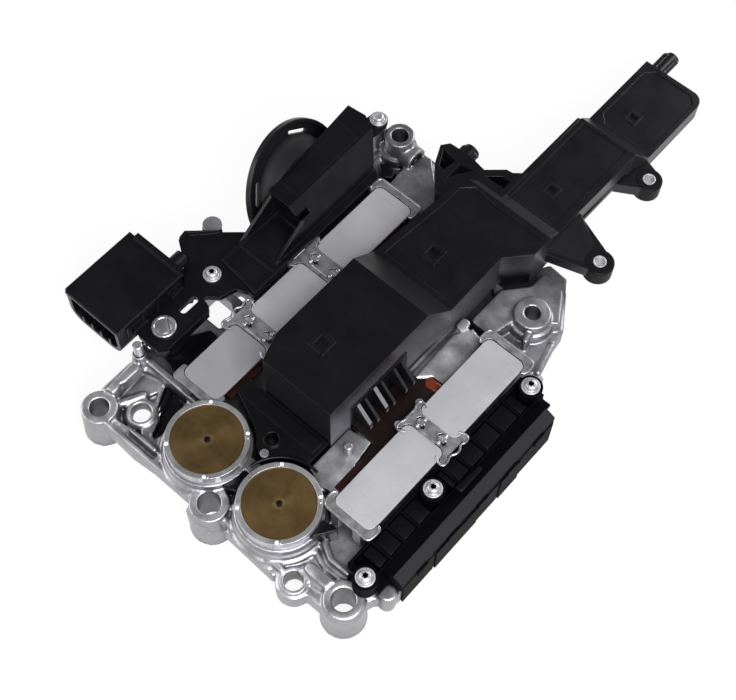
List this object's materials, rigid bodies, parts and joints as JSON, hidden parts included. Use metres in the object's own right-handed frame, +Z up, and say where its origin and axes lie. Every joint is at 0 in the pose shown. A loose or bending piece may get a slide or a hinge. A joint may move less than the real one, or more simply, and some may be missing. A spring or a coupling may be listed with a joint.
{
  "type": "transmission mechatronic unit",
  "caption": "Valve body casting with round accumulator pistons, rows of plated solenoids, a stepped black control unit with a long arm, a round plug and a side connector.",
  "frame": {"origin": "axis of the front middle bolt bore, at the mounting face of the casting", "axes": "+Z up out of the mounting face along the bolt bores, +Y along the unit towards the end of the control unit's arm, +X to the side of the harness cover"},
  "size_m": [0.2818, 0.4703, 0.0875],
  "materials": {
    "cast_aluminium": "as-cast, lightly blasted",
    "steel": "plain steel",
    "plated_steel": "zinc plated, satin",
    "bronze_disc": "turned, oil stained",
    "brown_plastic": "moulded over the winding",
    "clip_plastic": "moulded",
    "dark_plastic": "glass-filled nylon, fine grain",
    "board": "varnished laminate",
    "seal_rubber": "moulded",
    "contact_brass": "tinned"
  },
  "bodies": {
    "unit": {"upper_valve_body": "cast_aluminium", "gasket_plate": "steel", "lower_valve_body": "cast_aluminium", "accumulator_sleeve_left": "cast_aluminium", "accumulator_sleeve_right": "cast_aluminium", "accumulator_spring_left": "steel", "accumulator_spring_right": "steel", "solenoid_yoke_1": "plated_steel", "solenoid_yoke_2": "plated_steel", "solenoid_yoke_3": "plated_steel", "solenoid_yoke_4": "plated_steel", "solenoid_yoke_5": "plated_steel", "solenoid_coil_1": "brown_plastic", "solenoid_coil_2": "brown_plastic", "solenoid_coil_3": "brown_plastic", "solenoid_coil_4": "brown_plastic", "solenoid_coil_5": "brown_plastic", "middle_clips": "clip_plastic", "end_clips": "clip_plastic", "control_housing": "dark_plastic", "base_plate": "cast_aluminium", "circuit_board": "board", "tab_bushes": "steel", "front_cover": "dark_plastic", "side_bracket": "dark_plastic", "bracket_bush": "steel", "sensor_cap": "steel", "terminal_box": "dark_plastic", "terminal_lid": "dark_plastic", "plug_housing": "dark_plastic", "plug_seal": "seal_rubber", "plug_contacts": "contact_brass", "harness_cover": "dark_plastic", "locating_pin": "steel", "flange_screws": "plated_steel", "body_screws": "plated_steel"},
    "piston_left": {"accumulator_piston_left": "bronze_disc"},
    "piston_right": {"accumulator_piston_right": "bronze_disc"},
    "plunger_1": {"solenoid_plunger_1": "steel"},
    "plunger_2": {"solenoid_plunger_2": "steel"},
    "plunger_3": {"solenoid_plunger_3": "steel"},
    "plunger_4": {"solenoid_plunger_4": "steel"},
    "plunger_5": {"solenoid_plunger_5": "steel"}
  },
  "joints": [
    {"name": "piston_left_stroke", "type": "slide", "parent": "unit", "child": "piston_left", "axis": [0, 0, 1], "range_m": [-0.003, 0], "stiffness_N_per_m": 4000, "springref_m": 0.001, "deforming": ["accumulator_spring_left"]},
    {"name": "piston_right_stroke", "type": "slide", "parent": "unit", "child": "piston_right", "axis": [0, 0, 1], "range_m": [-0.003, 0], "stiffness_N_per_m": 4000, "springref_m": 0.001, "deforming": ["accumulator_spring_right"]},
    {"name": "plunger_1_stroke", "type": "slide", "parent": "unit", "child": "plunger_1", "axis": [0, 1, 0], "range_m": [0, 0.0015], "stiffness_N_per_m": 300, "springref_m": -0.0005},
    {"name": "plunger_2_stroke", "type": "slide", "parent": "unit", "child": "plunger_2", "axis": [0, 1, 0], "range_m": [0, 0.0015], "stiffness_N_per_m": 300, "springref_m": -0.0005},
    {"name": "plunger_3_stroke", "type": "slide", "parent": "unit", "child": "plunger_3", "axis": [0, 1, 0], "range_m": [0, 0.0015], "stiffness_N_per_m": 300, "springref_m": -0.0005},
    {"name": "plunger_4_stroke", "type": "slide", "parent": "unit", "child": "plunger_4", "axis": [0, 1, 0], "range_m": [0, 0.0015], "stiffness_N_per_m": 300, "springref_m": -0.0005},
    {"name": "plunger_5_stroke", "type": "slide", "parent": "unit", "child": "plunger_5", "axis": [0, 1, 0], "range_m": [0, 0.0015], "stiffness_N_per_m": 300, "springref_m": -0.0005}
  ]
}
